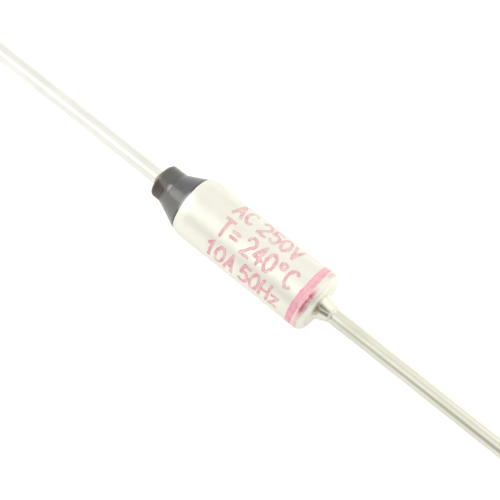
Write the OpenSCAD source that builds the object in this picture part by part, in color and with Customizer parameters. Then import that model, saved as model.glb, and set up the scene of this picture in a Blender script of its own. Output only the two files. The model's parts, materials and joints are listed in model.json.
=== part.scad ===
// Axial thermal fuse: a drawn metal case that holds a meltable pellet, two springs and a sliding contact.
// The axis of the fuse is X, and the origin lies on it, midway along the case.
// The isolated lead leaves towards -X, through the sealed mouth, and the case lead towards +X.
// Every turned profile is a list of [radius, x] points.

/* [Case] */
// Outside diameter of the case
case_d = 4; // [3.6:0.1:6]
// Length of the case, from the rolled rim to the end face
case_len = 10.1; // [9:0.1:16]
// Thickness of the side wall
case_wall = 0.25; // [0.15:0.01:0.35]
// Thickness of the closed end
end_wall = 0.5; // [0.4:0.02:0.9]
// Outside radius between the side and the end face
end_corner_r = 0.5; // [0.1:0.02:0.7]
// Inside radius between the side and the closed end
end_inner_r = 0.15; // [0.05:0.01:0.3]
// How far the rim of the mouth is rolled in
rim_drop = 0.25; // [0.1:0.01:0.35]
// Length over which the side wall is rolled in
rim_len = 0.75; // [0.5:0.05:1]

/* [Leads] */
// Diameter of both lead wires
lead_d = 1; // [0.6:0.05:1.2]
// Length of the isolated lead outside the bushing
isolated_lead_len = 20; // [8:1:60]
// Length of the case lead outside the end face
case_lead_len = 35; // [8:1:60]
// Bevel of the cut tips
tip_bevel = 0.06; // [0.02:0.01:0.15]
// Diameter of the flared collar that seats on the end face
collar_d = 1.8; // [1.4:0.05:2.4]
// Length of the flared collar
collar_len = 1; // [0.5:0.05:2]
// Height of the collar's straight edge
collar_edge = 0.06; // [0.02:0.01:0.2]
// Depth of the hollow in the collar's flank
collar_sag = 0.02; // [0.01:0.01:0.1]
// Diameter of the riveted head inside the closed end
rivet_d = 1.6; // [1.3:0.05:2.2]
// Depth of the riveted head
rivet_depth = 0.3; // [0.15:0.01:0.35]
// Diameter of the contact head on the isolated lead
head_d = 1.6; // [1.3:0.05:2]
// Thickness of the contact head
head_len = 0.35; // [0.2:0.01:0.6]
// Bevel round the contact face
head_bevel = 0.08; // [0.02:0.01:0.15]
// How much the isolated lead's radius grows through the bushing, which keeps it from pulling out
shank_taper = 0.1; // [0.05:0.01:0.15]

/* [Bushing and seal] */
// Diameter of the bushing's nose, round the isolated lead
nose_d = 2.2; // [1.8:0.05:2.6]
// Length of the nose outside the rim
nose_len = 2.4; // [1.8:0.05:4]
// Radius of the nose's outer edge
nose_edge_r = 0.26; // [0.05:0.01:0.4]
// Length of the bushing's straight seat in the case
seat_len = 0.45; // [0.3:0.05:1]
// Diameter of the boss that carries the contact head
boss_d = 1.9; // [1.6:0.05:2.2]
// Length of the boss
boss_len = 1; // [0.6:0.05:1.5]
// Length of the resin cone outside the rim
seal_len = 1.5; // [0.8:0.05:1.7]
// Thickness of the resin at its thin end
seal_edge = 0.04; // [0.02:0.01:0.1]
// Depth of the hollow in the resin cone
seal_sag = 0.05; // [0.01:0.01:0.1]
// How far the bead of resin round the isolated lead spreads on the nose
bead_spread = 0.2; // [0.1:0.01:0.25]
// How far the bead climbs along the lead
bead_len = 0.2; // [0.05:0.01:0.3]

/* [Sliding contact] */
// Thickness of the contact's sheet
contact_t = 0.12; // [0.08:0.01:0.16]
// Number of fingers that slide on the case wall
finger_count = 10; // [6:1:14]
// Straight length of a finger
finger_len = 0.5; // [0.3:0.05:0.8]
// Angle between a finger and the axis
finger_splay = 15; // [8:1:25]
// Angle that a finger's tip curls back from the wall
finger_curl = 30; // [10:1:45]
// Centreline radius of the bend at a finger's root
finger_root_r = 0.2; // [0.12:0.01:0.3]
// Centreline radius of a finger's curled tip
finger_tip_r = 0.25; // [0.15:0.01:0.4]
// Width of the slits between the fingers
slit_w = 0.16; // [0.08:0.01:0.3]

/* [Pellet and springs] */
// Length of the meltable pellet
pellet_len = 3.4; // [2:0.1:4]
// Thickness of the two spring disks
disk_t = 0.25; // [0.15:0.01:0.4]
// Wire diameter of the main spring
main_wire_d = 0.4; // [0.2:0.02:0.42]
// Distance between the main spring's turns
main_pitch = 0.66; // [0.66:0.02:1.2]
// Wire diameter of the trip spring
trip_wire_d = 0.18; // [0.1:0.01:0.22]
// Distance between the trip spring's turns
trip_pitch = 0.36; // [0.36:0.02:0.6]

/* [Fits] */
// Radial clearance of the bushing in the case
bushing_fit = 0.02; // [0.01:0.01:0.05]
// Radial clearance of the isolated lead in the bushing
lead_fit = 0.02; // [0.01:0.01:0.05]
// Radial clearance of the pellet in the case
pellet_fit = 0.03; // [0.01:0.01:0.08]
// Radial clearance of the pellet's disk in the case
pellet_disk_fit = 0.08; // [0.03:0.01:0.2]
// Clearance of the finger tips on the case wall
finger_fit = 0.01; // [0.005:0.005:0.03]
// Radial clearance of the spring disk inside the fingers
spring_disk_fit = 0.05; // [0.02:0.01:0.15]
// How far the main spring stands in from the edge of its disk
main_spring_inset = 0.06; // [0.02:0.01:0.2]
// Radial clearance of the trip spring round the boss
trip_spring_fit = 0.08; // [0.03:0.01:0.15]
// Clearance between a spring's end turn and what it presses on
spring_end_fit = 0.01; // [0.005:0.005:0.05]

/* [Hidden] */

$fn = 96;
// Steps in a rounded stretch of a profile
arc_steps = 8;
// Sides of a spring's wire, and rings in each of its turns
wire_sides = 8;
turn_rings = 20;
// Share of a turn that lies flat at each end of a spring
flat_turn = 0.35;

case_r = case_d / 2;
case_in_r = case_r - case_wall;
rim_r = case_r - rim_drop;
lead_r = lead_d / 2;
collar_r = collar_d / 2;
rivet_r = rivet_d / 2;
head_r = head_d / 2;
nose_r = nose_d / 2;
boss_r = boss_d / 2;
shank_r = lead_r + shank_taper;

// Stations along the axis, from the isolated lead to the case lead
rim_x = -case_len / 2;
end_x = case_len / 2;
nose_x = rim_x - nose_len;
isolated_tip_x = nose_x - isolated_lead_len;
seat_x = rim_x + rim_len;
flange_x = seat_x + seat_len;
boss_x = flange_x + boss_len;
contact_x = boss_x + head_len;
spring_disk_x = contact_x + contact_t;
main_spring_x = spring_disk_x + disk_t;
floor_x = end_x - end_wall;
pellet_x = floor_x - pellet_len;
pellet_disk_x = pellet_x - disk_t;
case_tip_x = end_x + case_lead_len;

// Radius of the arc by which the rim is rolled in, and the angle at which it meets the mouth
roll_r = (rim_len * rim_len + rim_drop * rim_drop) / (2 * rim_drop);
roll_angle = 90 + asin(rim_len / roll_r);

// Radius of the sliding contact's flat, from the case wall inwards
contact_flat_r = case_in_r - finger_fit - contact_t / 2
    - finger_tip_r * (1 - cos(finger_splay))
    - finger_len * sin(finger_splay)
    - finger_root_r * cos(finger_splay);
spring_disk_r = contact_flat_r - spring_disk_fit;
main_coil_r = spring_disk_r - main_spring_inset - main_wire_d / 2;
trip_coil_r = max(boss_r, head_r) + trip_spring_fit + trip_wire_d / 2;

// Points of an arc about [r, x], with angles measured from +X towards the outside
function arc(r, x, radius, from, to) = [
    for (i = [0:arc_steps])
        let (a = from + (to - from) * i / arc_steps)
            [r + radius * sin(a), x + radius * cos(a)]
];

// Points of a shallow hollow between two points, sunk by sag to the left of the way from p to q
function hollow(p, q, sag) = [
    for (i = [0:arc_steps])
        let (t = i / arc_steps, way = q - p, left = [-way[1], way[0]] / norm(way))
            p + way * t + left * sag * 4 * t * (1 - t)
];

// The rolled rim, from the mouth to the straight side, set in from the case's outside
function rolled_rim(inset) = arc(case_r - roll_r - inset, seat_x, roll_r, roll_angle, 90);

function reversed(points) = [for (i = [len(points) - 1:-1:0]) points[i]];

// Stations [radius, x, heading] of a bend that turns a sheet's centreline to a new heading
function bend(start, heading, radius) =
    let (way = sign(heading - start[2]))
    [
        for (i = [1:arc_steps])
            let (a = start[2] + (heading - start[2]) * i / arc_steps)
                [
                    start[0] + way * radius * (cos(start[2]) - cos(a)),
                    start[1] + way * radius * (sin(a) - sin(start[2])),
                    a
                ]
    ];

// One side of a sheet, at a distance from its centreline
function sheet_side(stations, offset) = [
    for (s = stations) [s[0] + offset * cos(s[2]), s[1] - offset * sin(s[2])]
];

// Height of a spring's centreline after some turns, with a flat stretch at each end
function coil_rise(turn, turns, pitch) =
    pitch * (min(max(turn, flat_turn), turns - flat_turn) - flat_turn);

module turned(profile) {
    rotate([0, 90, 0]) rotate_extrude() polygon(profile);
}

// A compression spring along X between two faces, with flat end turns
module coil_spring(from_x, to_x, coil_r, wire_d, pitch) {
    wire_r = wire_d / 2;
    first_x = from_x + spring_end_fit + wire_r;
    rise = to_x - spring_end_fit - wire_r - first_x;
    turns = rise / pitch + 2 * flat_turn;
    rings = ceil(turns * turn_rings);
    points = [
        for (i = [0:rings], j = [0:wire_sides - 1])
            let (
                turn = turns * i / rings,
                around = 360 * j / wire_sides,
                r = coil_r + wire_r * cos(around)
            )
                [
                    first_x + coil_rise(turn, turns, pitch) + wire_r * sin(around),
                    r * cos(360 * turn),
                    r * sin(360 * turn)
                ]
    ];
    side_faces = [
        for (i = [0:rings - 1], j = [0:wire_sides - 1])
            let (
                a = i * wire_sides + j,
                b = i * wire_sides + (j + 1) % wire_sides,
                c = a + wire_sides,
                d = b + wire_sides
            )
                each [[a, b, d], [a, d, c]]
    ];
    first_cap = [for (j = [wire_sides - 1:-1:0]) j];
    last_cap = [for (j = [0:wire_sides - 1]) rings * wire_sides + j];
    polyhedron(points, concat(side_faces, [first_cap, last_cap]));
}

// Drawn case: rolled rim, straight side, closed end with a countersunk hole for the lead
module case() {
    color("silver") turned(concat(
        rolled_rim(0),
        arc(case_r - end_corner_r, end_x - end_corner_r, end_corner_r, 90, 0),
        [[lead_r, end_x], [lead_r, floor_x + rivet_depth], [rivet_r, floor_x]],
        arc(case_in_r - end_inner_r, floor_x - end_inner_r, end_inner_r, 0, 90),
        reversed(rolled_rim(case_wall))
    ));
}

// Lead riveted into the closed end, with a flared collar outside
module case_lead() {
    color("gainsboro") turned(concat(
        [[0, floor_x], [rivet_r, floor_x], [lead_r, floor_x + rivet_depth]],
        [[lead_r, end_x], [collar_r, end_x]],
        hollow([collar_r, end_x + collar_edge], [lead_r, end_x + collar_len], collar_sag),
        [[lead_r, case_tip_x - tip_bevel], [lead_r - tip_bevel, case_tip_x], [0, case_tip_x]]
    ));
}

// Lead that the bushing keeps apart from the case, with a tapered shank and a headed contact inside
module isolated_lead() {
    color("gainsboro") turned([
        [0, isolated_tip_x],
        [lead_r - tip_bevel, isolated_tip_x],
        [lead_r, isolated_tip_x + tip_bevel],
        [lead_r, nose_x],
        [shank_r, boss_x],
        [head_r, boss_x],
        [head_r, contact_x - head_bevel],
        [head_r - head_bevel, contact_x],
        [0, contact_x]
    ]);
}

// Insulator with a nose outside, a shoulder under the rolled rim and a boss inside
module ceramic_bushing() {
    color([0.2, 0.17, 0.16]) turned(concat(
        [[shank_r + lead_fit, boss_x], [lead_r + lead_fit, nose_x]],
        arc(nose_r - nose_edge_r, nose_x + nose_edge_r, nose_edge_r, 180, 90),
        [[nose_r, rim_x]],
        rolled_rim(case_wall + bushing_fit),
        [[case_in_r - bushing_fit, flange_x], [boss_r, flange_x], [boss_r, boss_x]]
    ));
}

// Resin that closes the mouth between the nose and the rolled rim
module resin_seal() {
    color([0.3, 0.3, 0.3]) turned(concat(
        [[nose_r, rim_x]],
        hollow([rim_r, rim_x], [nose_r + seal_edge, rim_x - seal_len], -seal_sag),
        [[nose_r, rim_x - seal_len]]
    ));
}

// Bead of resin that closes the bushing's bore round the isolated lead
module lead_bead() {
    color([0.3, 0.26, 0.22]) turned(concat(
        [[lead_r, nose_x]],
        hollow([lead_r + bead_spread, nose_x], [lead_r + seal_edge, nose_x - bead_len], -seal_edge),
        [[lead_r, nose_x - bead_len]]
    ));
}

// Pressed pellet that melts at the set temperature
module thermal_pellet() {
    pellet_r = case_in_r - pellet_fit;
    pellet_bevel = end_inner_r + pellet_fit;
    color("ivory") turned([
        [0, pellet_x],
        [pellet_r - pellet_bevel, pellet_x],
        [pellet_r, pellet_x + pellet_bevel],
        [pellet_r, floor_x - pellet_bevel],
        [pellet_r - pellet_bevel, floor_x],
        [0, floor_x]
    ]);
}

module disk(from_x, radius) {
    translate([from_x, 0, 0]) rotate([0, 90, 0]) cylinder(h = disk_t, r = radius);
}

// Disk between the main spring and the pellet
module pellet_disk() {
    color("goldenrod") disk(pellet_disk_x, case_in_r - pellet_disk_fit);
}

// Strong spring that the pellet keeps compressed
module main_spring() {
    color("slategray") coil_spring(main_spring_x, pellet_disk_x, main_coil_r, main_wire_d, main_pitch);
}

// Disk between the main spring and the sliding contact
module spring_disk() {
    color("goldenrod") disk(spring_disk_x, spring_disk_r);
}

// Sheet contact with a ring of sprung fingers that slide on the case wall
module star_contact() {
    flat_edge = [contact_flat_r, contact_x + contact_t / 2, 90];
    root = bend(flat_edge, finger_splay, finger_root_r);
    root_end = root[arc_steps - 1];
    flank_end = [
        root_end[0] + finger_len * sin(finger_splay),
        root_end[1] + finger_len * cos(finger_splay),
        finger_splay
    ];
    tip = bend(flank_end, -finger_curl, finger_tip_r);
    centre = [0, contact_x + contact_t / 2, 90];
    stations = concat([centre, flat_edge], root, [flank_end], tip);
    slit_len = finger_len + finger_root_r + finger_tip_r + contact_t;
    color("lightsteelblue") difference() {
        turned(concat(
            sheet_side(stations, contact_t / 2),
            reversed(sheet_side(stations, -contact_t / 2))
        ));
        for (i = [0:finger_count - 1])
            rotate([360 * i / finger_count, 0, 0])
                translate([contact_x - contact_t, contact_flat_r, -slit_w / 2])
                    cube([slit_len + 2 * contact_t, case_r - contact_flat_r, slit_w]);
    }
}

// Weak spring that lifts the sliding contact off the isolated lead once the pellet has melted
module trip_spring() {
    color("slategray") coil_spring(flange_x, contact_x, trip_coil_r, trip_wire_d, trip_pitch);
}

case();
case_lead();
isolated_lead();
ceramic_bushing();
resin_seal();
lead_bead();
thermal_pellet();
pellet_disk();
main_spring();
spring_disk();
star_contact();
trip_spring();
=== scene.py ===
# Looks of the axial thermal fuse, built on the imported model
import json
import math

import bmesh
import bpy
import numpy as np
from mathutils import Matrix, Vector


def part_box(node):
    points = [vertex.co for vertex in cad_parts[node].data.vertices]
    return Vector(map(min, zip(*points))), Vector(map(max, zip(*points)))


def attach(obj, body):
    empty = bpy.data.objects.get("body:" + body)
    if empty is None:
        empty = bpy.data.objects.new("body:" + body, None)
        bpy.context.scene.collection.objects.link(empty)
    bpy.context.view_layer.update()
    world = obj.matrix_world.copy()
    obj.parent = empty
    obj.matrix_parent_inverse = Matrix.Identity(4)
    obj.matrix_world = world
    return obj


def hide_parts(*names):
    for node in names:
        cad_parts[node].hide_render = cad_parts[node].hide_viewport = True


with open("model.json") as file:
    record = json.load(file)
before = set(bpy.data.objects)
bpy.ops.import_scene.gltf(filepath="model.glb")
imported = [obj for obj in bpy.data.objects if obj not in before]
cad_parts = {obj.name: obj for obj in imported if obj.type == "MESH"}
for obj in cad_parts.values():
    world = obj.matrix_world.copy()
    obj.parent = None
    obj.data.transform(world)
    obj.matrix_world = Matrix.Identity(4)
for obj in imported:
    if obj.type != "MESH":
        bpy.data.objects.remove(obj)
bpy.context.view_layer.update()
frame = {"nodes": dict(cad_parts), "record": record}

# Sizes are in millimetres, and become metres where a mesh, light or camera is made
MM = 0.001


def span(node):
    """Where a node starts and ends along the axis, and its largest radius to the nearest micrometre."""
    low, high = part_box(node)
    radius = max(high.y, high.z, -low.y, -low.z)
    return low.x / MM, high.x / MM, round(radius / MM, 3)


def mount_radius(name):
    """Radius of one of the record's mounts."""
    return next(m["dims"]["r_mm"] for m in frame["record"]["mounts"] if m["name"] == name)


RIM_X, END_X, CASE_R = span("case")
FLOOR_X, CASE_TIP_X, COLLAR_R = span("case_lead")
ISOLATED_TIP_X, CONTACT_X, HEAD_R = span("isolated_lead")
NOSE_X, BOSS_X, SEAT_R = span("ceramic_bushing")
SEAL_X, _, RIM_R = span("resin_seal")
BEAD_X, _, BEAD_R = span("lead_bead")
LEAD_R = mount_radius("case_lead")

# Viewpoint of the photograph, with the camera's lens, sensor and reach
VIEW_AZIMUTH = math.radians(40)
VIEW_ELEVATION = math.radians(71)
VIEW_DISTANCE = 90
VIEW_AIM = (-0.395, -0.025, 0)
LENS = 108
SENSOR_WIDTH = 36
CLIP_START = 5
CLIP_END = 20000
# Angle about the axis, from straight up towards -Y, of the line that faces the viewpoint
FACING = math.atan2(math.cos(VIEW_AZIMUTH) * math.cos(VIEW_ELEVATION), math.sin(VIEW_ELEVATION))

# Case
CASE_WALL = 0.25
CASE_IN_R = CASE_R - CASE_WALL
END_CORNER_R = 0.5
END_INNER_R = 0.15
RIM_LEN = 0.75
RIM_DROP = CASE_R - RIM_R
SEAT_X = RIM_X + RIM_LEN
ROLL_R = (RIM_LEN ** 2 + RIM_DROP ** 2) / (2 * RIM_DROP)
ROLL_ANGLE = 90 + math.degrees(math.asin(RIM_LEN / ROLL_R))

# Leads
TIP_BEVEL = 0.06
COLLAR_LEN = 1.0
COLLAR_EDGE = 0.06
COLLAR_SAG = 0.02
RIVET_R = 0.8
RIVET_DEPTH = 0.3
HEAD_BEVEL = 0.08
SHANK_TAPER = 0.1
SHANK_R = LEAD_R + SHANK_TAPER
# Length past the collar over which its shading turns into the wire's
COLLAR_BLEND = 0.06
# Places along the case lead, from the end face: where the collar's brown stain and its brighter plating
# fade out, and the middle and reach of the matt ring where the collar runs into the wire
STAIN_FADE = (0.08, 0.36)
PLATING_FADE = (0.8, 1.15)
MATT_MIDDLE = 0.88
MATT_REACH = 0.13

# Bushing
BUSHING_FIT = CASE_IN_R - SEAT_R
LEAD_FIT = 0.02
NOSE_R = 1.1
NOSE_EDGE_R = 0.26
FLANGE_LEN = 0.45
FLANGE_X = SEAT_X + FLANGE_LEN
BOSS_R = 0.95

# Resin cone: how far it laps over the rim, with its lip and the hollow in its side
RESIN_LAP = 0.06
RESIN_LAP_LOW = 0.03
LAP_SINK = 0.01
RESIN_LIP = 0.02
RESIN_LIP_LOW = 0.045
RESIN_LIP_SHARE = 0.1
SEAL_SAG_HIGH = 0.005
CONE_SHORT_HIGH = 0.26
# Drop of resin that hangs on the cone's toe, and the mark of a chip beside it
DROP_X = SEAL_X + 0.19
DROP_LEN = 0.09
DROP_HEIGHT = 0.065
CHIP_X = SEAL_X + 0.2
CHIP_LEN = 0.085
# Its toe on the nose, and the film that climbs the nose on the high side: how far that side is turned,
# the share of the film's length in which it thins, and how softly it ends round the nose
TOE_THICK = 0.06
TOE_FLAT = 0.04
FILM_THICK = 0.05
FILM_EDGE_LEN = 0.08
FILM_END_X = NOSE_X + 0.1
FILM_TURN = math.radians(12)
FILM_THIN_SHARE = 0.4
FILM_SIDE_SOFT = 0.2
# How far these edges waver, in waves round the nose: each wave's share, its count and its phase
LAP_WAVER = 0.015
CONE_WAVER = 0.02
FILM_WAVER = 0.06
EDGE_WAVES = [(0.5, 3, 0.7), (0.3, 7, 2.1), (0.2, 13, 0)]
# Sines of the angles between which the cone's low side, and the painted light on it, begins
LOW_SIDE = (-0.05, 0.3)

# Bead: least thickness, how it thins along the lead, and how lumpy it is
BEAD_EDGE = 0.04
BEAD_TAPER = 1.5
BEAD_LUMPS = 0.2
BEAD_WAVES = [(0.6, 2, 1), (0.4, 5, 0.4)]

# Steps round a plain turned piece, in rounded stretches of its profile, and along straight ones
TURN_STEPS = 128
ARC_STEPS = 12
INNER_ARC_STEPS = 6
PLAIN_STEPS = 6
BAND_STEPS = 10
CASE_LEAD_STEPS = 60
ISOLATED_LEAD_STEPS = 40
CONE_STEPS = 30
FILM_STEPS = 8
# Shares of the way at which the resin under the lap and the film's rounded edge have their rings
LAP_RINGS = (0.4, 0.8)
FILM_EDGE_RINGS = (0.35, 0.65, 0.85, 0.95, 1)
# Edges that bend more than this stay sharp
SHARP_ANGLE = math.radians(32)

# Print on the case: each row's signs, its start from the rim, and its middle's angle from the facing line
PRINT_ROWS = [("AC 250V", 2.8, -50), ("T= 240°C", 2.8, -3), ("10A 50Hz", 2.65, 44)]
GLYPH_HEIGHT = 1.15
GLYPH_WIDTH = 0.56
GLYPH_GAP = 0.22
WORD_GAP = 0.3
STROKE_HALF = 0.095
# Distances from a stroke's middle between which its ink runs out
STROKE_EDGE = (STROKE_HALF - 0.02, STROKE_HALF + 0.025)
# Mesh over the print, and the distance given to places far from any stroke
PRINT_MARGIN = 0.3
PRINT_STEP = 0.04
FAR_FROM_INK = 1.0

# Band of ink round the closed end: a stripe with a worn margin, a pale gap and a second stripe
BAND_X = END_X - 1.135
STRIPE_END_X = END_X - 0.8
STRIPE_MIDDLE_X = (BAND_X + STRIPE_END_X) / 2
MARGIN_END_X = END_X - 0.7
GAP_END_X = END_X - 0.64
SECOND_X = END_X - 0.61
THICK_END_X = END_X - 0.4
BAND_END_X = END_X - 0.34
BAND_SOFT = 0.03
STRIPE_OVERLAP = 2 * BAND_SOFT
BAND_BULGE = 0.06

# Stretches round a piece: the middle and the reach to either side, in degrees from the facing line
WORN_STRETCH = (-60, 64)
MARGIN_WORN_STRETCH = (7, 22)
GAP_INKED_STRETCH = (-18, 52)
SECOND_FULL_STRETCH = (10, 36)
SECOND_BARE_STRETCH = (-32, 26)
THICK_STRETCH = (13, 27)
BULGE_STRETCH = (20, 28)
STAIN_STRETCH = (22, 38)
DROP_STRETCH = (4, 15)
CHIP_STRETCH = (-18, 14)
LAP_SHADOW_GAP_STRETCH = (5, 26)

# Shares of ink: what the worn stretch loses, what the margin has and loses, what the gap has and gains, and
# what the second stripe has
INK_WEAR = 0.14
MARGIN_INK = 0.95
MARGIN_WEAR = 0.6
GAP_INK = 0.12
GAP_GAIN = 0.8
SECOND_INK = 0.5

# Colours
PRINT_INK = (0.79, 0.255, 0.35)
BAND_INK = (0.93, 0.31, 0.44)
THICK_INK = (0.53, 0.145, 0.175)
CASE_METAL = (0.92, 0.905, 0.80)
CASE_METAL_DULL = (0.875, 0.85, 0.735)
# The isolated lead's tin is paler than the case lead's; part of that is painted light, for the brighter
# light on its side
PLAIN_WIRE_LIT = (0.91, 0.905, 0.83)
PLAIN_WIRE_LIT_DULL = (0.84, 0.83, 0.75)
CASE_WIRE = (0.838, 0.82, 0.695)
CASE_WIRE_DULL = (0.76, 0.742, 0.612)
COLLAR_METAL = (0.85, 0.837, 0.72)
STAIN = (0.42, 0.33, 0.23)
RESIN = (0.036, 0.042, 0.042)
RESIN_PALE = (0.072, 0.076, 0.071)
# Painted light on the resin's low side
RESIN_LOW_LIT = (0.12, 0.11, 0.096)
# Painted shadow along the lap at the rim
LAP_SHADOW_PAINT = (0.015, 0.015, 0.015)
# Painted highlight on the resin's edge at the rim
EDGE_HIGHLIGHT_PAINT = (0.4, 0.4, 0.39)
# Painted glint on the drop of resin
DROP_GLINT_PAINT = (0.3, 0.295, 0.275)
RESIN_FILM = (0.09, 0.08, 0.06)
FILM_BROWN = (0.088, 0.054, 0.035)
CHIP_BROWN = (0.06, 0.034, 0.024)
CERAMIC = (0.125, 0.094, 0.08)
CERAMIC_DARK = (0.058, 0.034, 0.026)
AMBER = (0.30, 0.23, 0.13)
AMBER_PALE = (0.5, 0.42, 0.27)

# Noise mostly lies in this range, and dulls metal in the next one
NOISE_RANGE = (0.3, 0.7)
DULL_RANGE = (0.35, 0.7)

# Ink: sizes of its ragged edge and its patches, how far the edge strays, and the noise that makes a patch
RAGGED_SIZE = 0.14
RAGGED_EDGE = 0.03
PATCH_SIZE = 0.35
PATCH_RANGE = (0.34, 0.6)
THICK_PATCH_RANGE = (0.36, 0.56)
# Least share of ink in a patch of the print, the band and the thick ink
PRINT_PATCH = 0.5
BAND_PATCH = 0.72
THICK_PATCH = 0.85
# Share of ink in the middle of a stroke and a stripe, and the distances between which it rises to all
PRINT_SQUEEZED = 0.55
PRINT_SQUEEZE = (0.01, 0.75 * STROKE_HALF)
BAND_SQUEEZED = 0.8
BAND_SQUEEZE = (0.04, 0.16)
# Share of the print's ink at which its colour takes the place of the band's
PRINT_COLOURED = 0.1
# How metallic ink looks, and the roughness that it adds
INK_METALLIC = 0.15
INK_ROUGH = 0.1

# Case metal: sizes of its smudges and its drawn grain, roughness, relief, and the grain's share in that
SMUDGE_SIZE = 1.4
CASE_GRAIN_SIZE = 0.05
CASE_GRAIN_STRETCH = (6, 1, 1)
CASE_ROUGH = (0.32, 0.42)
CASE_RELIEF = 0.003
CASE_GRAIN_SHARE = 0.3

# Wire: sizes of its blotches and its drawn lines, roughness and relief
BLOTCH_SIZE = 0.8
BLOTCH_STRETCH = (3, 1, 1)
DRAWN_SIZE = 0.05
DRAWN_STRETCH = (40, 1, 1)
WIRE_ROUGH = (0.17, 0.28)
WIRE_RELIEF = 0.0012
# Collar: spots in its stain, the least share of stain, how metallic that is, and the matt ring's roughness
STAIN_SPOT_SIZE = 0.2
STAIN_SPOT_RANGE = (0.35, 0.6)
STAIN_LEAST = 0.35
STAIN_METALLIC = 0.5
MATT_ROUGH = 0.5

# Resin: sizes of its clouds, swells and bare spots, roughness, gloss, coat and relief
RESIN_CLOUD_SIZE = 0.6
RESIN_SWELL_SIZE = 0.9
BARE_SIZE = 0.3
RESIN_ROUGH = (0.22, 0.34)
RESIN_GLOSS = 0.8
RESIN_COAT = 0.5
RESIN_COAT_ROUGH = 0.2
RESIN_RELIEF = 0.02
# Depths between which the resin turns from film to body, and lengths of the film's worn end, the painted
# highlight at the rim's edge and the painted shadow along the lap
FILM_DEPTH = (0.02, 0.09)
WORN_LEN = 0.35
EDGE_HIGHLIGHT_LEN = 0.2
LAP_SHADOW_RANGE = (0.04, 0.14)
# Noise that bares the film, and the largest shares of the low side's painted light, bare spots, worn end and
# painted lap shadow
BARE_RANGE = (0.5, 0.62)
LOW_LIT_SHARE = 0.8
BARE_SHARE = 0.8
WORN_SHARE = 0.75
LAP_SHADOW_SHARE = 0.9

# Ceramic and bead: sizes of their clouds and grain, roughness and relief
CERAMIC_CLOUD_SIZE = 0.5
CERAMIC_GRAIN_SIZE = 0.06
CERAMIC_ROUGH = (0.3, 0.5)
CERAMIC_RELIEF = 0.004
BEAD_CLOUD_SIZE = 0.25
BEAD_ROUGH = (0.15, 0.3)
BEAD_RELIEF = 0.01

# Inner pieces: size of their clouds, relief, and for each finish two colours, how metallic it is, its
# roughness and the size of its grain
INNER_CLOUD_SIZE = 0.7
INNER_RELIEF = 0.004
INNER_FINISHES = {
    "spring steel": ((0.55, 0.55, 0.54), (0.42, 0.42, 0.41), 1.0, (0.2, 0.35), 0.08),
    "brass disk": ((0.86, 0.68, 0.36), (0.74, 0.55, 0.26), 1.0, (0.25, 0.4), 0.1),
    "pressed pellet": ((0.86, 0.82, 0.68), (0.76, 0.7, 0.55), 0.0, (0.6, 0.85), 0.06),
    "silver contact": ((0.92, 0.9, 0.86), (0.8, 0.77, 0.7), 1.0, (0.18, 0.32), 0.07),
}
INNER_NODES = {
    "thermal_pellet": "pressed pellet",
    "pellet_disk": "brass disk",
    "main_spring": "spring steel",
    "spring_disk": "brass disk",
    "star_contact": "silver contact",
    "trip_spring": "spring steel",
}

# Floor: how much it glows and how much it takes shade, seen straight and mirrored in the metal
FLOOR_HALF = 2000
FLOOR_WHITE = 0.9
GLOW_SEEN = 0.82
SHADE_SEEN = 0.3
SHADE_MIRRORED = 0.66
# Painted shade and light in the mirrored glow: in front of the fuse it falls along X, a painted shade beside
# the case lead, and behind it it rises along X, painted light beyond the closed end
FRONT_SHADED_GLOW = (0.395, 0.31)
FRONT_SHADE_X = (2, 5)
BACK_LIT_GLOW = (0.42, 0.56)
BACK_LIGHT_X = (3, 6)
GLOW_TURN_Y = (-1, 1.5)

# Level of the studio, and its brighter and dimmer parts: the direction, the cosines of the angles to
# the part's edge and to its core, and the level there
STUDIO_LEVEL = 0.945
STUDIO_PARTS = [
    ((-0.45, -0.45, 0.77), 0.87, 0.985, 1.34),
    ((-1.0, 0.0, 0.3), -0.2, 0.8, 1.055),
    ((-0.4, -0.9, 0.15), 0.9, 0.97, 1.05),
    ((0.42, 0.68, 0.6), 0.82, 0.95, 1.28),
    ((0.68, -0.21, 0.7), 0.96, 0.988, 0.2),
    ((0.53, -0.74, 0.42), 0.955, 0.985, 0.25),
    ((0.3, -0.85, 0.43), 0.83, 0.97, 0.57),
    ((0.05, -0.87, 0.49), 0.952, 0.985, 0.84),
    ((0.08, -0.66, 0.74), 0.962, 0.99, 0.7),
    ((0.1, 0.3, 0.95), 0.962, 0.985, 0.86),
    ((0.98, 0.0, 0.12), 0.95, 0.985, 0.35),
]

# Key light: an upright soft box on the side of the isolated lead, with the way its long side runs
KEY_WAY = (-0.85, -0.23, 0.47)
KEY_RUN = (0.5, -0.3, 0.82)
KEY_DISTANCE = 400
KEY_WIDTH = 180
KEY_LENGTH = 320
KEY_LEVEL = 1.6


# Helpers for profiles and meshes
def arc(x, r, radius, start, end, steps=ARC_STEPS):
    """Points (x, radius) of an arc about a centre, with angles from +X towards the outside."""
    return [
        (x + radius * math.cos(math.radians(a)), r + radius * math.sin(math.radians(a)))
        for a in np.linspace(start, end, steps + 1)
    ]


def hollow(p, q, sag, steps=ARC_STEPS):
    """Points of a shallow hollow between two points, sunk towards the axis."""
    p, q = np.array(p), np.array(q)
    way = q - p
    side = np.array((-way[1], way[0])) / np.hypot(*way)
    if side[1] > 0:
        side = -side
    return [tuple(p + way * t + side * sag * 4 * t * (1 - t)) for t in np.linspace(0, 1, steps + 1)]


def line(p, q, steps):
    """Points from p up to but without q."""
    return [tuple(np.array(p) + (np.array(q) - np.array(p)) * i / steps) for i in range(steps)]


def rolled_rim(inset):
    """The rolled rim, from the mouth to the straight side, set in from the outside."""
    return arc(SEAT_X, CASE_R - ROLL_R - inset, ROLL_R, ROLL_ANGLE, 90)


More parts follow.
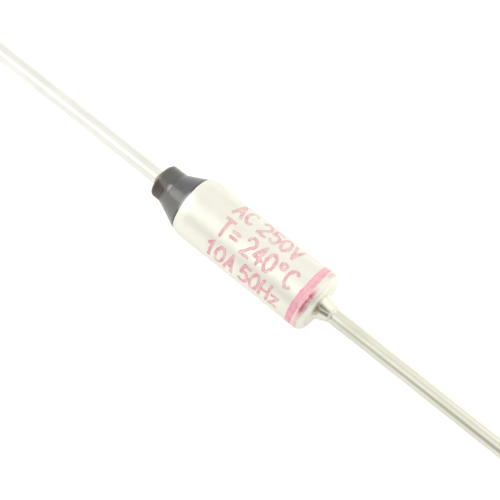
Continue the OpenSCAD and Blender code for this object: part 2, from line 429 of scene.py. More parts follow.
def rim_radius(x):
    """Radius of the rolled rim's outside at a place along the axis."""
    return CASE_R - ROLL_R + np.sqrt(ROLL_R ** 2 - (SEAT_X - x) ** 2)


def nose_radius(x):
    """Radius of the nose, with its rounded outer edge, at a place along the axis."""
    beyond = np.clip(NOSE_X + NOSE_EDGE_R - x, 0, NOSE_EDGE_R)
    return NOSE_R - NOSE_EDGE_R + np.sqrt(NOSE_EDGE_R ** 2 - beyond ** 2)


def even_angles(steps=TURN_STEPS):
    """Angles of even steps round the axis."""
    return np.linspace(0, 2 * math.pi, steps, endpoint=False)


def smooth(value, low, high):
    """Smooth step from 0 to 1 between low and high."""
    t = np.clip((value - low) / (high - low), 0, 1)
    return t * t * (3 - 2 * t)


def hill(turn, middle, reach):
    """1 round the middle of a stretch of a turned piece, and 0 beyond its reach, in degrees."""
    away = np.cos(turn - math.radians(middle))
    return smooth(away, math.cos(math.radians(reach)), math.cos(math.radians(reach / 2)))


def spot(x, turn, middle_x, length, stretch):
    """1 in the middle of a spot on a turned piece, fading out along the axis and round it."""
    return np.exp(-((x - middle_x) / length) ** 2) * hill(turn, *stretch)


def waver(turn, waves):
    """Sum of waves round the axis, each with its share, its count and its phase."""
    return sum(share * np.sin(count * turn + phase) for share, count, phase in waves)


def ring_mesh(name, grid_x, grid_r, angles):
    """A closed mesh of rings about X, one for each row of the grids. Angles run from straight up
    towards -Y. A row of no radius is a pole, and rows without poles close into a ring."""
    points, rows = [], []
    for row_x, row_r in zip(grid_x, grid_r):
        if not row_r.any():
            rows.append([len(points)] * len(angles))
            points.append((row_x[0] * MM, 0, 0))
            continue
        rows.append(list(range(len(points), len(points) + len(angles))))
        points += zip(row_x * MM, -row_r * np.sin(angles) * MM, row_r * np.cos(angles) * MM)
    if grid_r[0].any():
        rows.append(rows[0])
    faces = []
    for low, high in zip(rows, rows[1:]):
        for j in range(len(angles)):
            k = (j + 1) % len(angles)
            faces.append(tuple(dict.fromkeys((low[j], high[j], high[k], low[k]))))
    mesh = bpy.data.meshes.new(name)
    mesh.from_pydata(points, [], faces)
    built = bmesh.new()
    built.from_mesh(mesh)
    if built.calc_volume(signed=True) < 0:
        bmesh.ops.reverse_faces(built, faces=built.faces)
    built.to_mesh(mesh)
    built.free()
    mesh.shade_smooth()
    mesh.set_sharp_from_angle(angle=SHARP_ANGLE)
    return mesh


def lathe(name, profile, angles):
    """A closed mesh turned about X from (x, radius) points."""
    x, r = np.array(profile, float).T
    return ring_mesh(name, np.outer(x, np.ones(len(angles))), np.outer(r, np.ones(len(angles))), angles)


def vertex_places(mesh):
    """The x, y and z of every vertex, in millimetres."""
    places = np.empty(len(mesh.vertices) * 3)
    mesh.vertices.foreach_get("co", places)
    return places.reshape(-1, 3).T / MM


def vertex_turns(mesh):
    """Each vertex's angle about the axis from the facing line, towards -Y."""
    _, y, z = vertex_places(mesh)
    return np.arctan2(-y, z) - FACING


def add_value(mesh, name, values):
    """Stores a number on each vertex, for the material to read."""
    mesh.attributes.new(name, "FLOAT", "POINT").data.foreach_set("value", values)


def place(mesh, node, material):
    """Shows a mesh in place of a node of the frame."""
    piece = bpy.data.objects.new(mesh.name, mesh)
    bpy.context.scene.collection.objects.link(piece)
    mesh.materials.append(material)
    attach(piece, "root")
    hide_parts(node)


# Strokes of the print, on a grid one unit high
def curve(x, y, width, height, start, end, steps=14):
    """Part of an oval about (x, y), with angles from the right, counter-clockwise."""
    return [
        (x + width / 2 * math.cos(math.radians(a)), y + height / 2 * math.sin(math.radians(a)))
        for a in np.linspace(start, end, steps)
    ]


def glyph_strokes(w):
    """Strokes of each sign used, for signs of width w."""
    middle = w / 2
    return {
        "0": [curve(middle, 0.5, w, 1, 90, 450, steps=24)],
        "1": [[(w * 0.2, 0.78), (w * 0.62, 1), (w * 0.62, 0)]],
        "2": [curve(middle, 0.72, w, 0.56, 170, -35) + [(0, 0), (w, 0)]],
        "4": [[(w * 0.72, 0), (w * 0.72, 1), (0, 0.3), (w, 0.3)]],
        "5": [[(w * 0.95, 1), (w * 0.12, 1), (w * 0.06, 0.56)] + curve(middle, 0.32, w, 0.64, 125, -140)],
        "A": [[(0, 0), (middle, 1), (w, 0)], [(w * 0.2, 0.34), (w * 0.8, 0.34)]],
        "C": [curve(w * 0.56, 0.5, w * 1.1, 1, 52, 308, steps=20)],
        "H": [[(0, 0), (0, 1)], [(w, 0), (w, 1)], [(0, 0.5), (w, 0.5)]],
        "T": [[(0, 1), (w, 1)], [(middle, 1), (middle, 0)]],
        "V": [[(0, 1), (middle, 0), (w, 1)]],
        "z": [[(w * 0.1, 0.6), (w * 0.9, 0.6), (w * 0.1, 0), (w * 0.9, 0)]],
        "=": [[(w * 0.1, 0.62), (w * 0.9, 0.62)], [(w * 0.1, 0.32), (w * 0.9, 0.32)]],
        "°": [curve(middle, 0.8, w * 0.62, 0.34, 0, 360, steps=18)],
    }


def print_segments():
    """Straight bits of every stroke of the print, as (x, arc length) pairs on the unrolled case."""
    signs = glyph_strokes(GLYPH_WIDTH / GLYPH_HEIGHT)
    starts, ends = [], []
    for text, from_rim, middle_angle in PRINT_ROWS:
        x = RIM_X + from_rim
        base = (FACING + math.radians(middle_angle)) * CASE_R + GLYPH_HEIGHT / 2
        for sign in text:
            if sign == " ":
                x += WORD_GAP
                continue
            for stroke in signs[sign]:
                way = np.array([(x + u * GLYPH_HEIGHT, base - v * GLYPH_HEIGHT) for u, v in stroke])
                starts.append(way[:-1])
                ends.append(way[1:])
            x += GLYPH_WIDTH + GLYPH_GAP
    return np.concatenate(starts), np.concatenate(ends)


def distance_to_segments(points, starts, ends):
    """Distance from each point to the nearest of the segments."""
    nearest = np.full(len(points), FAR_FROM_INK)
    for p, q in zip(starts, ends):
        way = q - p
        along = np.clip((points - p) @ way / (way @ way), 0, 1)
        nearest = np.minimum(nearest, np.linalg.norm(points - p - along[:, None] * way, axis=1))
    return nearest


def add_ink_distance(mesh, starts, ends):
    """Stores on each vertex how far it lies from the print, in millimetres."""
    x, y, z = vertex_places(mesh)
    unrolled = np.stack((x, np.arctan2(-y, z) * CASE_R), axis=1)
    distance = distance_to_segments(unrolled, starts, ends)
    distance[np.hypot(y, z) < CASE_R - CASE_WALL / 2] = FAR_FROM_INK
    add_value(mesh, "ink_distance", distance)


def add_band_wear(mesh):
    """Stores at each angle how worn the ink is, how much of the band's margin, gap and second stripe is
    inked, where it is thick, and how far the band bulges."""
    turn = vertex_turns(mesh)
    second = SECOND_INK * (1 + hill(turn, *SECOND_FULL_STRETCH) - hill(turn, *SECOND_BARE_STRETCH))
    add_value(mesh, "ink_wear", 1 - INK_WEAR * hill(turn, *WORN_STRETCH))
    add_value(mesh, "margin_ink", MARGIN_INK - MARGIN_WEAR * hill(turn, *MARGIN_WORN_STRETCH))
    add_value(mesh, "gap_ink", GAP_INK + GAP_GAIN * hill(turn, *GAP_INKED_STRETCH))
    add_value(mesh, "second_ink", np.clip(second, 0, 1))
    add_value(mesh, "thick_ink", hill(turn, *THICK_STRETCH))
    add_value(mesh, "band_bulge", BAND_BULGE * hill(turn, *BULGE_STRETCH))


# The six pieces that show
def build_case():
    """The can with its rolled rim, with a fine mesh over the print."""
    starts, ends = print_segments()
    low = np.minimum(starts, ends).min(axis=0) - PRINT_MARGIN
    high = np.maximum(starts, ends).max(axis=0) + PRINT_MARGIN
    steps_x, steps_v = np.ceil((high - low) / PRINT_STEP).astype(int)
    print_angles = np.linspace(low[1], high[1], steps_v) / CASE_R
    rest = np.linspace(print_angles[-1], print_angles[0] + 2 * math.pi, TURN_STEPS // 2)[1:-1]
    corner_x = END_X - END_CORNER_R
    profile = (
        rolled_rim(0)[:-1]
        + line((SEAT_X, CASE_R), (low[0], CASE_R), PLAIN_STEPS)
        + line((low[0], CASE_R), (high[0], CASE_R), int(steps_x))
        + line((high[0], CASE_R), (corner_x, CASE_R), BAND_STEPS)
        + arc(corner_x, CASE_R - END_CORNER_R, END_CORNER_R, 90, 0)[:-1]
        + line((END_X, CASE_R - END_CORNER_R), (END_X, LEAD_R), PLAIN_STEPS)
        + [(END_X, LEAD_R), (FLOOR_X + RIVET_DEPTH, LEAD_R), (FLOOR_X, RIVET_R)]
        + arc(FLOOR_X - END_INNER_R, CASE_IN_R - END_INNER_R, END_INNER_R, 0, 90, INNER_ARC_STEPS)
        + rolled_rim(CASE_WALL)[::-1]
    )
    mesh = lathe("plated_case", profile, np.concatenate((print_angles, rest)))
    add_ink_distance(mesh, starts, ends)
    add_band_wear(mesh)
    return mesh


def build_case_lead():
    """The lead on the closed end, with its collar outside and its riveted head inside."""
    collar_end_x = END_X + COLLAR_LEN
    profile = (
        [(FLOOR_X, 0), (FLOOR_X, RIVET_R), (FLOOR_X + RIVET_DEPTH, LEAD_R)]
        + [(END_X, LEAD_R), (END_X, COLLAR_R)]
        + hollow((END_X + COLLAR_EDGE, COLLAR_R), (collar_end_x, LEAD_R), COLLAR_SAG)
        + line((collar_end_x + COLLAR_BLEND, LEAD_R), (CASE_TIP_X - TIP_BEVEL, LEAD_R), CASE_LEAD_STEPS)
        + [(CASE_TIP_X - TIP_BEVEL, LEAD_R), (CASE_TIP_X, LEAD_R - TIP_BEVEL), (CASE_TIP_X, 0)]
    )
    mesh = lathe("case_lead_wire", profile, even_angles())
    from_end = vertex_places(mesh)[0] - END_X
    near_base = 1 - smooth(from_end, *STAIN_FADE)
    add_value(mesh, "stain", near_base * hill(vertex_turns(mesh), *STAIN_STRETCH))
    add_value(mesh, "plating", 1 - smooth(from_end, *PLATING_FADE))
    add_value(mesh, "matt", 1 - smooth(np.abs(from_end - MATT_MIDDLE), 0, MATT_REACH))
    return mesh


def build_isolated_lead():
    """The lead through the bushing, with its tapered shank and its contact head."""
    profile = (
        [(ISOLATED_TIP_X, 0), (ISOLATED_TIP_X, LEAD_R - TIP_BEVEL)]
        + line((ISOLATED_TIP_X + TIP_BEVEL, LEAD_R), (NOSE_X, LEAD_R), ISOLATED_LEAD_STEPS)
        + [(NOSE_X, LEAD_R), (BOSS_X, SHANK_R), (BOSS_X, HEAD_R)]
        + [(CONTACT_X - HEAD_BEVEL, HEAD_R), (CONTACT_X, HEAD_R - HEAD_BEVEL), (CONTACT_X, 0)]
    )
    return lathe("isolated_lead_wire", profile, even_angles())


def build_bushing():
    """The insulator, with its nose outside and its flange under the rolled rim."""
    profile = (
        [(BOSS_X, SHANK_R + LEAD_FIT), (NOSE_X, LEAD_R + LEAD_FIT)]
        + arc(NOSE_X + NOSE_EDGE_R, NOSE_R - NOSE_EDGE_R, NOSE_EDGE_R, 180, 90)
        + [(RIM_X, NOSE_R)]
        + rolled_rim(CASE_WALL + BUSHING_FIT)
        + [(FLANGE_X, SEAT_R), (FLANGE_X, BOSS_R), (BOSS_X, BOSS_R)]
    )
    return lathe("insulating_bushing", profile, even_angles())


def seal_rows(turn):
    """Rings of the resin cone, from the rim to the end of its film, and where it starts on the rim."""
    level = np.ones(len(turn))
    high = (1 - np.sin(turn)) / 2
    low = np.clip(np.sin(turn), 0, 1)
    stray = waver(turn, EDGE_WAVES)
    climb = smooth(-np.sin(turn - FILM_TURN), -FILM_SIDE_SOFT, FILM_SIDE_SOFT)

    start_x = RIM_X + RESIN_LAP + RESIN_LAP_LOW * low + LAP_WAVER * stray
    start_r = rim_radius(start_x)
    toe_x = SEAL_X + CONE_SHORT_HIGH * high + CONE_WAVER * stray
    toe_r = NOSE_R + TOE_THICK
    sag = SEAL_SAG_HIGH * high
    lip = RESIN_LIP + RESIN_LIP_LOW * low
    flat_x = toe_x - TOE_FLAT
    film_x = FILM_END_X + FILM_EDGE_LEN - FILM_WAVER * stray
    edge_x = flat_x + (film_x - flat_x) * climb
    edge_thick = TOE_THICK + (FILM_THICK - TOE_THICK) * climb

    rows = [(RIM_X * level, NOSE_R * level), (RIM_X * level, (RIM_R - LAP_SINK) * level)]
    for t in LAP_RINGS:
        x = RIM_X + (start_x - RIM_X) * t
        rows.append((x, rim_radius(x) - LAP_SINK))
    for t in np.linspace(0, 1, CONE_STEPS + 1):
        swell = math.sin(math.pi / 2 * min(t / RESIN_LIP_SHARE, 1)) * (1 - t)
        r = start_r + (toe_r - start_r) * t - sag * 4 * t * (1 - t) + lip * swell
        rows.append((start_x + (toe_x - start_x) * t, r))
    for t in np.linspace(0, 1, FILM_STEPS + 1)[1:]:
        x = toe_x + (edge_x - toe_x) * t
        thick = TOE_THICK + (edge_thick - TOE_THICK) * smooth(t, 0, FILM_THIN_SHARE)
        rows.append((x, nose_radius(x) + thick))
    for t in FILM_EDGE_RINGS:
        x = edge_x - FILM_EDGE_LEN * t
        rows.append((x, nose_radius(x) + edge_thick * math.sqrt(1 - t * t)))
    return rows, start_x


def build_seal():
    """The resin cone as it set: it laps over the rim, and a film of it climbs one side of the nose."""
    angles = even_angles(2 * TURN_STEPS)
    turn = angles - FACING
    rows, start_x = seal_rows(turn)
    grid_x, grid_r = (np.array(part) for part in zip(*rows))
    covered = smooth(grid_r - nose_radius(grid_x), 0, FILM_THICK)
    drop = spot(grid_x, turn, DROP_X, DROP_LEN, DROP_STRETCH) * covered
    grid_r += DROP_HEIGHT * drop
    mesh = ring_mesh("resin_cone", grid_x, grid_r, angles)
    add_value(mesh, "drop", drop.ravel())
    add_value(mesh, "chip", spot(grid_x, turn, CHIP_X, CHIP_LEN, CHIP_STRETCH).ravel())
    add_value(mesh, "resin_depth", (grid_r - NOSE_R).ravel())
    add_value(mesh, "from_rim", (start_x - grid_x).ravel())
    add_value(mesh, "lap_shadow", np.tile(1 - hill(turn, *LAP_SHADOW_GAP_STRETCH), len(rows)))
    add_value(mesh, "lit_low_side", np.tile(smooth(np.sin(turn), *LOW_SIDE), len(rows)))
    return mesh


def build_bead():
    """The bead of resin round the isolated lead, lumpy as it set."""
    angles = even_angles()
    level = np.ones(len(angles))
    lumps = BEAD_LUMPS * waver(angles - FACING, BEAD_WAVES)
    rows = [(NOSE_X * level, LEAD_R * level)]
    for t in np.linspace(0, 1, ARC_STEPS + 1):
        rise = (BEAD_R - LEAD_R - BEAD_EDGE) * (1 - t) ** BEAD_TAPER * (1 + lumps)
        rows.append((NOSE_X + (BEAD_X - NOSE_X) * t * (1 - BEAD_LUMPS + lumps), LEAD_R + BEAD_EDGE + rise))
    rows.append((rows[-1][0], LEAD_R * level))
    grid_x, grid_r = (np.array(part) for part in zip(*rows))
    return ring_mesh("resin_bead", grid_x, grid_r, angles)


# Helpers for node trees
def add_node(tree, kind, inputs=None, **options):
    """Adds a node, sets its options, and fills its inputs with values or other nodes' outputs."""
    made = tree.nodes.new(kind)
    for name, value in options.items():
        setattr(made, name, value)
    for key, value in (inputs or {}).items():
        fill(tree, made.inputs[key], value)
    return made


def fill(tree, socket, value):
    """Links a node's output to a socket, or sets the socket to a value."""
    if isinstance(value, bpy.types.NodeSocket):
        tree.links.new(value, socket)
    elif socket.type == "RGBA":
        socket.default_value = (*value, 1)
    else:
        socket.default_value = value


def noise(tree, coords, size, detail=4.0, stretch=(1, 1, 1)):
    """Cloudy noise from 0 to 1 with features of a size in millimetres, longer where stretch is large."""
    scale = [1 / (size * MM * s) for s in stretch]
    mapped = add_node(tree, "ShaderNodeMapping", {"Vector": coords, "Scale": scale})
    made = add_node(
        tree, "ShaderNodeTexNoise", {"Vector": mapped.outputs[0], "Scale": 1.0, "Detail": detail}
    )
    return made.outputs["Fac"]


def ranged(tree, value, from_low, from_high, to_low, to_high, smooth_step=False):
    """Maps a value from one range to another and keeps it inside."""
    made = add_node(
        tree,
        "ShaderNodeMapRange",
        {"Value": value, "From Min": from_low, "From Max": from_high, "To Min": to_low, "To Max": to_high},
        interpolation_type="SMOOTHSTEP" if smooth_step else "LINEAR",
    )
    return made.outputs["Result"]


def math_node(tree, operation, *values):
    """The result of one math node."""
    made = add_node(tree, "ShaderNodeMath", dict(enumerate(values)), operation=operation)
    return made.outputs[0]


def product(tree, first, *others):
    """Multiplies values."""
    for other in others:
        first = math_node(tree, "MULTIPLY", first, other)
    return first


def mixed(tree, factor, first, second):
    """Mixes two colours."""
    made = add_node(tree, "ShaderNodeMix", {"Factor": factor}, data_type="RGBA")
    colours = [s for s in made.inputs if s.type == "RGBA"]
    fill(tree, colours[0], first)
    fill(tree, colours[1], second)
    return next(s for s in made.outputs if s.type == "RGBA")


def bumped(tree, height, depth):
    """A normal from a height of 0 to 1, for a depth in millimetres."""
    made = add_node(tree, "ShaderNodeBump", {"Height": height, "Distance": depth * MM, "Strength": 1.0})
    return made.outputs["Normal"]


def attribute(tree, name):
    """A number that is stored on the mesh."""
    return add_node(tree, "ShaderNodeAttribute", attribute_name=name).outputs["Fac"]


def place_along(tree, coords):
    """The place along the fuse's axis, in metres."""
    return add_node(tree, "ShaderNodeSeparateXYZ", {"Vector": coords}).outputs["X"]


def start_material(name):
    """A new material, with its node tree, its shader and the place on the object."""
    material = bpy.data.materials.new(name)
    material.use_nodes = True
    tree = material.node_tree
    coords = add_node(tree, "ShaderNodeTexCoord").outputs["Object"]
    return material, tree, tree.nodes["Principled BSDF"], coords


def set_shader(tree, shader, inputs):
    """Fills inputs of a shader."""
    for name, value in inputs.items():
        fill(tree, shader.inputs[name], value)


# Materials
def stripe(tree, along, start, end, bulge=0.0):
    """1 between two places along the axis, with soft edges. The bulge moves its start back."""
    bulged = math_node(tree, "ADD", along, bulge)
    rise = ranged(tree, bulged, start - BAND_SOFT, start + BAND_SOFT, 0, 1)
    fall = ranged(tree, along, end - BAND_SOFT, end + BAND_SOFT, 1, 0)
    return product(tree, rise, fall)


def print_ink(tree, ragged, patches):
    """Share of ink in the print, whose strokes are ragged, patchy and squeezed thin in the middle."""
    distance = math_node(tree, "ADD", attribute(tree, "ink_distance"), ragged)
    stroke = ranged(tree, distance, *STROKE_EDGE, 1, 0)
    squeezed = ranged(tree, distance, *PRINT_SQUEEZE, PRINT_SQUEEZED, 1)
    return product(tree, stroke, squeezed, ranged(tree, patches, *PATCH_RANGE, PRINT_PATCH, 1))


def band_ink(tree, along, patches):
    """Share of ink in the band, whose stripe is squeezed thin in the middle, and whose rest is worn."""
    from_middle = math_node(tree, "ABSOLUTE", math_node(tree, "SUBTRACT", along, STRIPE_MIDDLE_X))
    band = stripe(tree, along, BAND_X, STRIPE_END_X, attribute(tree, "band_bulge"))
    band = product(tree, band, ranged(tree, from_middle, *BAND_SQUEEZE, BAND_SQUEEZED, 1))
    for start, end, ink in (
        (STRIPE_END_X - STRIPE_OVERLAP, MARGIN_END_X, "margin_ink"),
        (MARGIN_END_X - STRIPE_OVERLAP, GAP_END_X, "gap_ink"),
        (SECOND_X, BAND_END_X, "second_ink"),
    ):
        layer = product(tree, stripe(tree, along, start, end), attribute(tree, ink))
        band = math_node(tree, "MAXIMUM", band, layer)
    return product(tree, band, ranged(tree, patches, *PATCH_RANGE, BAND_PATCH, 1))


def ink_layers(tree, coords):
    """How much ink lies on the case, in the print, the band and its thick stretch, and its colour."""
    fray = noise(tree, coords, RAGGED_SIZE, detail=3)
    ragged = ranged(tree, fray, *NOISE_RANGE, -RAGGED_EDGE, RAGGED_EDGE)
    patches = noise(tree, coords, PATCH_SIZE)
    along = math_node(tree, "MULTIPLY_ADD", place_along(tree, coords), 1 / MM, ragged)
    signs = print_ink(tree, ragged, patches)
    band = band_ink(tree, along, patches)
    thin = product(tree, math_node(tree, "MAXIMUM", signs, band), attribute(tree, "ink_wear"))
    thick = product(tree, stripe(tree, along, SECOND_X, THICK_END_X), attribute(tree, "thick_ink"))
    thick = product(tree, thick, ranged(tree, patches, *THICK_PATCH_RANGE, THICK_PATCH, 1))
    colour = mixed(tree, ranged(tree, signs, 0, PRINT_COLOURED, 0, 1), BAND_INK, PRINT_INK)
    return math_node(tree, "MAXIMUM", thin, thick), mixed(tree, thick, colour, THICK_INK)


def case_material():
    """Satin plating with smudges, under the ink."""
    material, tree, shader, coords = start_material("plated case with ink")
    smudges = noise(tree, coords, SMUDGE_SIZE, detail=5)
    grain = noise(tree, coords, CASE_GRAIN_SIZE, detail=3, stretch=CASE_GRAIN_STRETCH)
    metal = mixed(tree, ranged(tree, smudges, *DULL_RANGE, 0, 1), CASE_METAL, CASE_METAL_DULL)
    ink, ink_colour = ink_layers(tree, coords)
    rough = ranged(tree, smudges, *NOISE_RANGE, *CASE_ROUGH)
    height = math_node(tree, "MULTIPLY_ADD", grain, CASE_GRAIN_SHARE, ink)
    set_shader(tree, shader, {
        "Base Color": mixed(tree, ink, metal, ink_colour),
        "Metallic": ranged(tree, ink, 0, 1, 1, INK_METALLIC),
        "Roughness": math_node(tree, "MULTIPLY_ADD", ink, INK_ROUGH, rough),
        "Normal": bumped(tree, height, CASE_RELIEF),
    })
    return material


def add_collar_looks(tree, coords, looks):
    """Plates the collar of a wire, makes its end matt, and stains its base."""
    matt = attribute(tree, "matt")
    spots = ranged(tree, noise(tree, coords, STAIN_SPOT_SIZE), *STAIN_SPOT_RANGE, STAIN_LEAST, 1)
    stain = product(tree, attribute(tree, "stain"), spots)
    colour = mixed(tree, attribute(tree, "plating"), looks["Base Color"], COLLAR_METAL)
    colour = mixed(tree, matt, colour, CASE_METAL)
    looks["Base Color"] = mixed(tree, stain, colour, STAIN)
    looks["Metallic"] = ranged(tree, stain, 0, 1, 1, STAIN_METALLIC)
    looks["Roughness"] = math_node(tree, "MULTIPLY_ADD", matt, MATT_ROUGH, looks["Roughness"])


def wire_material(name, bright, dull, collar=False):
    """Tinned wire with blotches and fine lines along it, and a collar where asked."""
    material, tree, shader, coords = start_material(name)
    blotches = noise(tree, coords, BLOTCH_SIZE, stretch=BLOTCH_STRETCH)
    drawn = noise(tree, coords, DRAWN_SIZE, detail=3, stretch=DRAWN_STRETCH)
    looks = {
        "Base Color": mixed(tree, ranged(tree, blotches, *DULL_RANGE, 0, 1), bright, dull),
        "Metallic": 1.0,
        "Roughness": ranged(tree, blotches, *NOISE_RANGE, *WIRE_ROUGH),
        "Normal": bumped(tree, drawn, WIRE_RELIEF),
    }
    if collar:
        add_collar_looks(tree, coords, looks)
    set_shader(tree, shader, looks)
    return material


def film_colour(tree, coords):
    """Colour of the thin resin on the nose, brown where it is bare or worn."""
    bare = ranged(tree, noise(tree, coords, BARE_SIZE, detail=3), *BARE_RANGE, 0, BARE_SHARE)
    worn = ranged(tree, place_along(tree, coords), NOSE_X * MM, (NOSE_X + WORN_LEN) * MM, WORN_SHARE, 0)
    return mixed(tree, math_node(tree, "MAXIMUM", bare, worn), RESIN_FILM, FILM_BROWN)


def resin_material():
    """Cloudy dark resin, thin on the nose, with painted light on its low side, a painted glint on the drop,
    and at the rim a painted shadow along the lap and a painted highlight where that shadow is missing.
    """
    material, tree, shader, coords = start_material("sealing resin")
    clouds = noise(tree, coords, RESIN_CLOUD_SIZE)
    swells = noise(tree, coords, RESIN_SWELL_SIZE, detail=2)
    # Painted light: the low side, lit by the key and the floor, is painted paler
    lit_low_side = ranged(tree, attribute(tree, "lit_low_side"), 0, 1, 0, LOW_LIT_SHARE)
    body = mixed(tree, lit_low_side, mixed(tree, clouds, RESIN, RESIN_PALE), RESIN_LOW_LIT)
    thin = ranged(tree, attribute(tree, "resin_depth"), *FILM_DEPTH, 1, 0)
    colour = mixed(tree, thin, body, film_colour(tree, coords))
    # Painted glint: the drop on the toe is painted pale
    colour = mixed(tree, attribute(tree, "drop"), colour, DROP_GLINT_PAINT)
    colour = mixed(tree, attribute(tree, "chip"), colour, CHIP_BROWN)
    from_rim = attribute(tree, "from_rim")
    # Painted shadow: a dark line along the lap at the rim, missing in the middle of the facing side
    shadowed = attribute(tree, "lap_shadow")
    unshadowed = math_node(tree, "SUBTRACT", 1.0, shadowed)
    # Painted highlight: pale resin at the rim where the painted lap shadow is missing
    painted_edge_highlight = product(tree, ranged(tree, from_rim, 0, EDGE_HIGHLIGHT_LEN, 1, 0), unshadowed)
    colour = mixed(tree, painted_edge_highlight, colour, EDGE_HIGHLIGHT_PAINT)
    painted_lap_shadow = product(tree, ranged(tree, from_rim, *LAP_SHADOW_RANGE, LAP_SHADOW_SHARE, 0), shadowed)
    set_shader(tree, shader, {
        "Base Color": mixed(tree, painted_lap_shadow, colour, LAP_SHADOW_PAINT),
        "Roughness": ranged(tree, clouds, *NOISE_RANGE, *RESIN_ROUGH),
        "Specular IOR Level": RESIN_GLOSS,
        "Coat Weight": RESIN_COAT,
        "Coat Roughness": RESIN_COAT_ROUGH,
        "Normal": bumped(tree, swells, RESIN_RELIEF),
    })
    return material


def ceramic_material():
    """Dark brown ceramic, cloudy and finely grained."""
    material, tree, shader, coords = start_material("dark ceramic")
    clouds = noise(tree, coords, CERAMIC_CLOUD_SIZE, detail=5)
    grain = noise(tree, coords, CERAMIC_GRAIN_SIZE, detail=3)
    set_shader(tree, shader, {
        "Base Color": mixed(tree, ranged(tree, clouds, *NOISE_RANGE, 0, 1), CERAMIC_DARK, CERAMIC),
        "Roughness": ranged(tree, clouds, *NOISE_RANGE, *CERAMIC_ROUGH),
        "Normal": bumped(tree, grain, CERAMIC_RELIEF),
    })
    return material


def bead_material():
    """Brown resin, cloudy and glossy."""
    material, tree, shader, coords = start_material("amber resin")
    clouds = noise(tree, coords, BEAD_CLOUD_SIZE)
    set_shader(tree, shader, {
        "Base Color": mixed(tree, clouds, AMBER, AMBER_PALE),
        "Roughness": ranged(tree, clouds, *NOISE_RANGE, *BEAD_ROUGH),
        "Normal": bumped(tree, clouds, BEAD_RELIEF),
    })
    return material


def inner_material(name, light, dark, metallic, rough, grain_size):
    """Finish of a piece inside the case."""
    material, tree, shader, coords = start_material(name)
    clouds = noise(tree, coords, INNER_CLOUD_SIZE)
    grain = noise(tree, coords, grain_size, detail=3)
    set_shader(tree, shader, {
        "Base Color": mixed(tree, clouds, light, dark),
        "Metallic": metallic,
        "Roughness": ranged(tree, grain, *NOISE_RANGE, *rough),
        "Normal": bumped(tree, grain, INNER_RELIEF),
    })
    return material


# Floor, studio, key light and camera
def floor_material():
    """White floor that keeps the shadow, and glows where it is seen straight or mirrored, with painted shade
    and light in the mirrored glow.
    """
    material = bpy.data.materials.new("white floor")
    material.use_nodes = True
    tree = material.node_tree
    tree.nodes.remove(tree.nodes["Principled BSDF"])
    path = add_node(tree, "ShaderNodeLightPath").outputs
    straight = path["Is Camera Ray"]
    seen = math_node(tree, "MAXIMUM", straight, path["Is Glossy Ray"])
    seen = math_node(tree, "MAXIMUM", seen, path["Is Transmission Ray"])
    position = add_node(tree, "ShaderNodeNewGeometry").outputs["Position"]
    spread = add_node(tree, "ShaderNodeSeparateXYZ", {"Vector": position}).outputs
    # Painted shade in front and painted light behind, in the glow that the metal mirrors
    front = ranged(tree, spread["X"], *(x * MM for x in FRONT_SHADE_X), *FRONT_SHADED_GLOW)
    back = ranged(tree, spread["X"], *(x * MM for x in BACK_LIGHT_X), *BACK_LIT_GLOW)
    mirrored = ranged(tree, spread["Y"], *(y * MM for y in GLOW_TURN_Y), front, back)
    shade = ranged(tree, straight, 0, 1, SHADE_MIRRORED, SHADE_SEEN)
    glow = ranged(tree, straight, 0, 1, mirrored, GLOW_SEEN)
    plain = add_node(tree, "ShaderNodeBsdfDiffuse", {"Color": (FLOOR_WHITE,) * 3})
    shaded = add_node(tree, "ShaderNodeBsdfDiffuse", {"Color": shade})
    white = add_node(tree, "ShaderNodeEmission", {"Color": (1, 1, 1), "Strength": glow})
    both = add_node(tree, "ShaderNodeAddShader", {0: shaded.outputs[0], 1: white.outputs[0]})
    mix = add_node(tree, "ShaderNodeMixShader", {0: seen, 1: plain.outputs[0], 2: both.outputs[0]})
    tree.links.new(mix.outputs[0], tree.nodes["Material Output"].inputs["Surface"])
    return material


def build_floor():
    """A square floor that the case lies on."""
    z = -CASE_R * MM
    half = FLOOR_HALF * MM
    mesh = bpy.data.meshes.new("floor")
    corners = [(-half, -half, z), (half, -half, z), (half, half, z), (-half, half, z)]
    mesh.from_pydata(corners, [], [(0, 1, 2, 3)])
    mesh.materials.append(floor_material())
    floor = bpy.data.objects.new("floor", mesh)
    bpy.context.scene.collection.objects.link(floor)


def build_world():
    """The studio round the fuse: white, with brighter and dimmer parts."""
    world = bpy.data.worlds.new("studio")
    bpy.context.scene.world = world
    world.use_nodes = True
    tree = world.node_tree
    way = add_node(tree, "ShaderNodeTexCoord").outputs["Generated"]
    level = STUDIO_LEVEL
    for aim, edge, core, share in STUDIO_PARTS:
        aim = Vector(aim).normalized()
        cosine = add_node(tree, "ShaderNodeVectorMath", {0: way, 1: aim}, operation="DOT_PRODUCT")
        change = ranged(tree, cosine.outputs["Value"], edge, core, 1, share, smooth_step=True)
        level = product(tree, change, level)
    set_shader(tree, tree.nodes["Background"], {"Color": (1, 1, 1), "Strength": level})


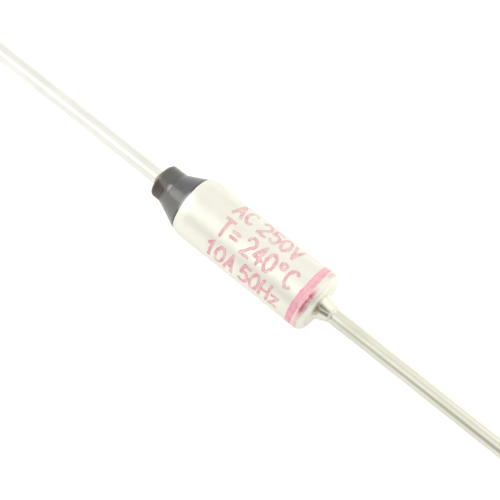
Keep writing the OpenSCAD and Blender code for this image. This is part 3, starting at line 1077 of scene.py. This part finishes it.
def build_key():
    """The key light, aimed at the middle of the case."""
    width = KEY_WIDTH * MM
    length = KEY_LENGTH * MM
    lamp = bpy.data.lights.new("key", "AREA")
    lamp.shape = "RECTANGLE"
    lamp.size = width
    lamp.size_y = length
    lamp.energy = KEY_LEVEL * math.pi * width * length
    key = bpy.data.objects.new("key", lamp)
    bpy.context.scene.collection.objects.link(key)
    way = Vector(KEY_WAY).normalized()
    side = Vector(KEY_RUN).cross(way).normalized()
    key.location = way * KEY_DISTANCE * MM
    key.rotation_euler = Matrix((side, way.cross(side), way)).transposed().to_euler()


def build_camera():
    """The camera at the photograph's viewpoint."""
    data = bpy.data.cameras.new("camera")
    data.lens = LENS
    data.sensor_width = SENSOR_WIDTH
    data.clip_start = CLIP_START * MM
    data.clip_end = CLIP_END * MM
    camera = bpy.data.objects.new("camera", data)
    bpy.context.scene.collection.objects.link(camera)
    back = Vector((
        math.sin(VIEW_AZIMUTH) * math.cos(VIEW_ELEVATION),
        -math.cos(VIEW_AZIMUTH) * math.cos(VIEW_ELEVATION),
        math.sin(VIEW_ELEVATION),
    ))
    camera.location = (Vector(VIEW_AIM) + back * VIEW_DISTANCE) * MM
    camera.rotation_euler = back.to_track_quat("Z", "Y").to_euler()
    bpy.context.scene.camera = camera


# Making of the scene
case_wire = wire_material("tinned wire of the case", CASE_WIRE, CASE_WIRE_DULL, collar=True)
plain_wire_lit = wire_material("tinned wire", PLAIN_WIRE_LIT, PLAIN_WIRE_LIT_DULL)
place(build_case(), "case", case_material())
place(build_case_lead(), "case_lead", case_wire)
place(build_isolated_lead(), "isolated_lead", plain_wire_lit)
place(build_bushing(), "ceramic_bushing", ceramic_material())
place(build_seal(), "resin_seal", resin_material())
place(build_bead(), "lead_bead", bead_material())

finishes = {name: inner_material(name, *finish) for name, finish in INNER_FINISHES.items()}
for node, finish in INNER_NODES.items():
    slots = frame["nodes"][node].data.materials
    slots.clear()
    slots.append(finishes[finish])

build_floor()
build_world()
build_key()
build_camera()
bpy.context.scene.view_settings.view_transform = "Standard"
